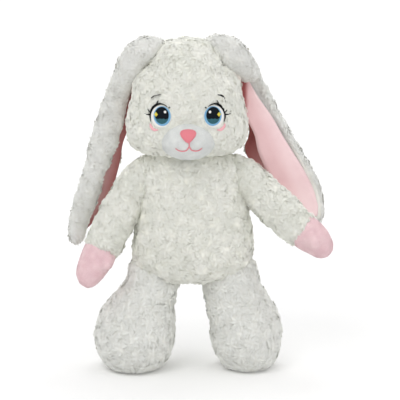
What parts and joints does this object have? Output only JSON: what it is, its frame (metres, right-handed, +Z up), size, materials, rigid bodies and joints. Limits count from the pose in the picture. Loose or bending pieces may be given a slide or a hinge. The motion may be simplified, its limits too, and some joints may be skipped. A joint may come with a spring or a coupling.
{
  "type": "stuffed bunny rabbit",
  "caption": "Standing plush bunny rabbit with a round head, long drooping lined ears, soft arms ending in velour paws, wide stuffed legs and an embroidered face.",
  "frame": {"origin": "on the floor between the feet, at the middle of the toy's width and depth", "axes": "+Z up from the soles to the top of the head; the toy faces -Y; its ear and paw named left are at -X"},
  "size_m": [0.3178, 0.1604, 0.396],
  "materials": {
    "plush": "long white plush pile on a knitted backing, in small whorls",
    "filling": "loose polyester fibre filling",
    "short_pile": "smooth short-pile plush",
    "pink_velour": "dusty pink velour with a dense upright pile",
    "pink_thread": "coral pink satin stitch",
    "blush_thread": "pale pink stitches",
    "white_thread": "white satin stitch",
    "blue_thread": "light blue satin stitch",
    "navy_thread": "near-black navy satin stitch",
    "teal_thread": "dark teal satin stitch",
    "yellow_thread": "pale yellow satin stitch",
    "black_thread": "black satin stitch",
    "seam_thread": "off-white sewing thread",
    "label_tape": "blank woven tape"
  },
  "bodies": {
    "torso": {"torso_skin": "plush", "torso_filling": "filling", "closing_thread": "seam_thread", "tail_skin": "plush", "tail_filling": "filling", "care_label": "label_tape"},
    "neck": {"neck_filling": "filling"},
    "head": {"head_skin": "plush", "head_filling": "filling", "muzzle": "short_pile", "nose": "pink_thread", "lip_stitch": "pink_thread", "mouth_stitch": "pink_thread", "eye_white_left": "white_thread", "eye_iris_left": "blue_thread", "eye_pupil_left": "navy_thread", "eye_glow_left": "teal_thread", "eye_spark_left": "yellow_thread", "eye_glint_left": "white_thread", "eye_lash_left": "black_thread", "eye_brow_left": "black_thread", "eye_blush_left": "blush_thread", "eye_white_right": "white_thread", "eye_iris_right": "blue_thread", "eye_pupil_right": "navy_thread", "eye_glow_right": "teal_thread", "eye_spark_right": "yellow_thread", "eye_glint_right": "white_thread", "eye_lash_right": "black_thread", "eye_brow_right": "black_thread", "eye_blush_right": "blush_thread"},
    "ear_left": {"ear_plush_left": "plush", "ear_lining_left": "pink_velour"},
    "shoulder_left": {"shoulder_filling_left": "filling"},
    "arm_left": {"arm_sleeve_left": "plush", "arm_filling_left": "filling", "paw_mitt_left": "pink_velour"},
    "leg_left": {"leg_skin_left": "plush", "leg_filling_left": "filling", "sole_panel_left": "short_pile"},
    "ear_right": {"ear_plush_right": "plush", "ear_lining_right": "pink_velour"},
    "shoulder_right": {"shoulder_filling_right": "filling"},
    "arm_right": {"arm_sleeve_right": "plush", "arm_filling_right": "filling", "paw_mitt_right": "pink_velour"},
    "leg_right": {"leg_skin_right": "plush", "leg_filling_right": "filling", "sole_panel_right": "short_pile"}
  },
  "joints": [
    {"name": "neck_turn", "type": "hinge", "parent": "torso", "child": "neck", "pos_m": [-0.01332, -0.00242, 0.259], "axis": [0, 0, 1], "range_deg": [-5, 40]},
    {"name": "neck_nod", "type": "hinge", "parent": "neck", "child": "head", "pos_m": [-0.01332, -0.00242, 0.259], "axis": [1, 0, 0], "range_deg": [-5, 12]},
    {"name": "shoulder_left_swing", "type": "hinge", "parent": "torso", "child": "shoulder_left", "pos_m": [-0.06032, -0.00142, 0.239], "axis": [-1, 0, 0], "range_deg": [-5, 60]},
    {"name": "shoulder_left_raise", "type": "hinge", "parent": "shoulder_left", "child": "arm_left", "pos_m": [-0.06032, -0.00142, 0.239], "axis": [0, 1, 0], "range_deg": [0, 50]},
    {"name": "hip_left_swing", "type": "hinge", "parent": "torso", "child": "leg_left", "pos_m": [-0.05382, -0.00742, 0.096], "axis": [-1, 0, 0], "range_deg": [-15, 55]},
    {"name": "ear_left_lift", "type": "hinge", "parent": "head", "child": "ear_left", "pos_m": [-0.06832, 0.01058, 0.376], "axis": [0, 1, 0], "range_deg": [0, 80]},
    {"name": "shoulder_right_swing", "type": "hinge", "parent": "torso", "child": "shoulder_right", "pos_m": [0.04368, -0.00142, 0.238], "axis": [-1, 0, 0], "range_deg": [-5, 60]},
    {"name": "shoulder_right_raise", "type": "hinge", "parent": "shoulder_right", "child": "arm_right", "pos_m": [0.04368, -0.00142, 0.238], "axis": [0, -1, 0], "range_deg": [0, 50]},
    {"name": "hip_right_swing", "type": "hinge", "parent": "torso", "child": "leg_right", "pos_m": [0.03718, -0.00742, 0.096], "axis": [-1, 0, 0], "range_deg": [-15, 55]},
    {"name": "ear_right_lift", "type": "hinge", "parent": "head", "child": "ear_right", "pos_m": [0.03968, 0.00958, 0.373], "axis": [0, -1, 0], "range_deg": [0, 80]}
  ]
}
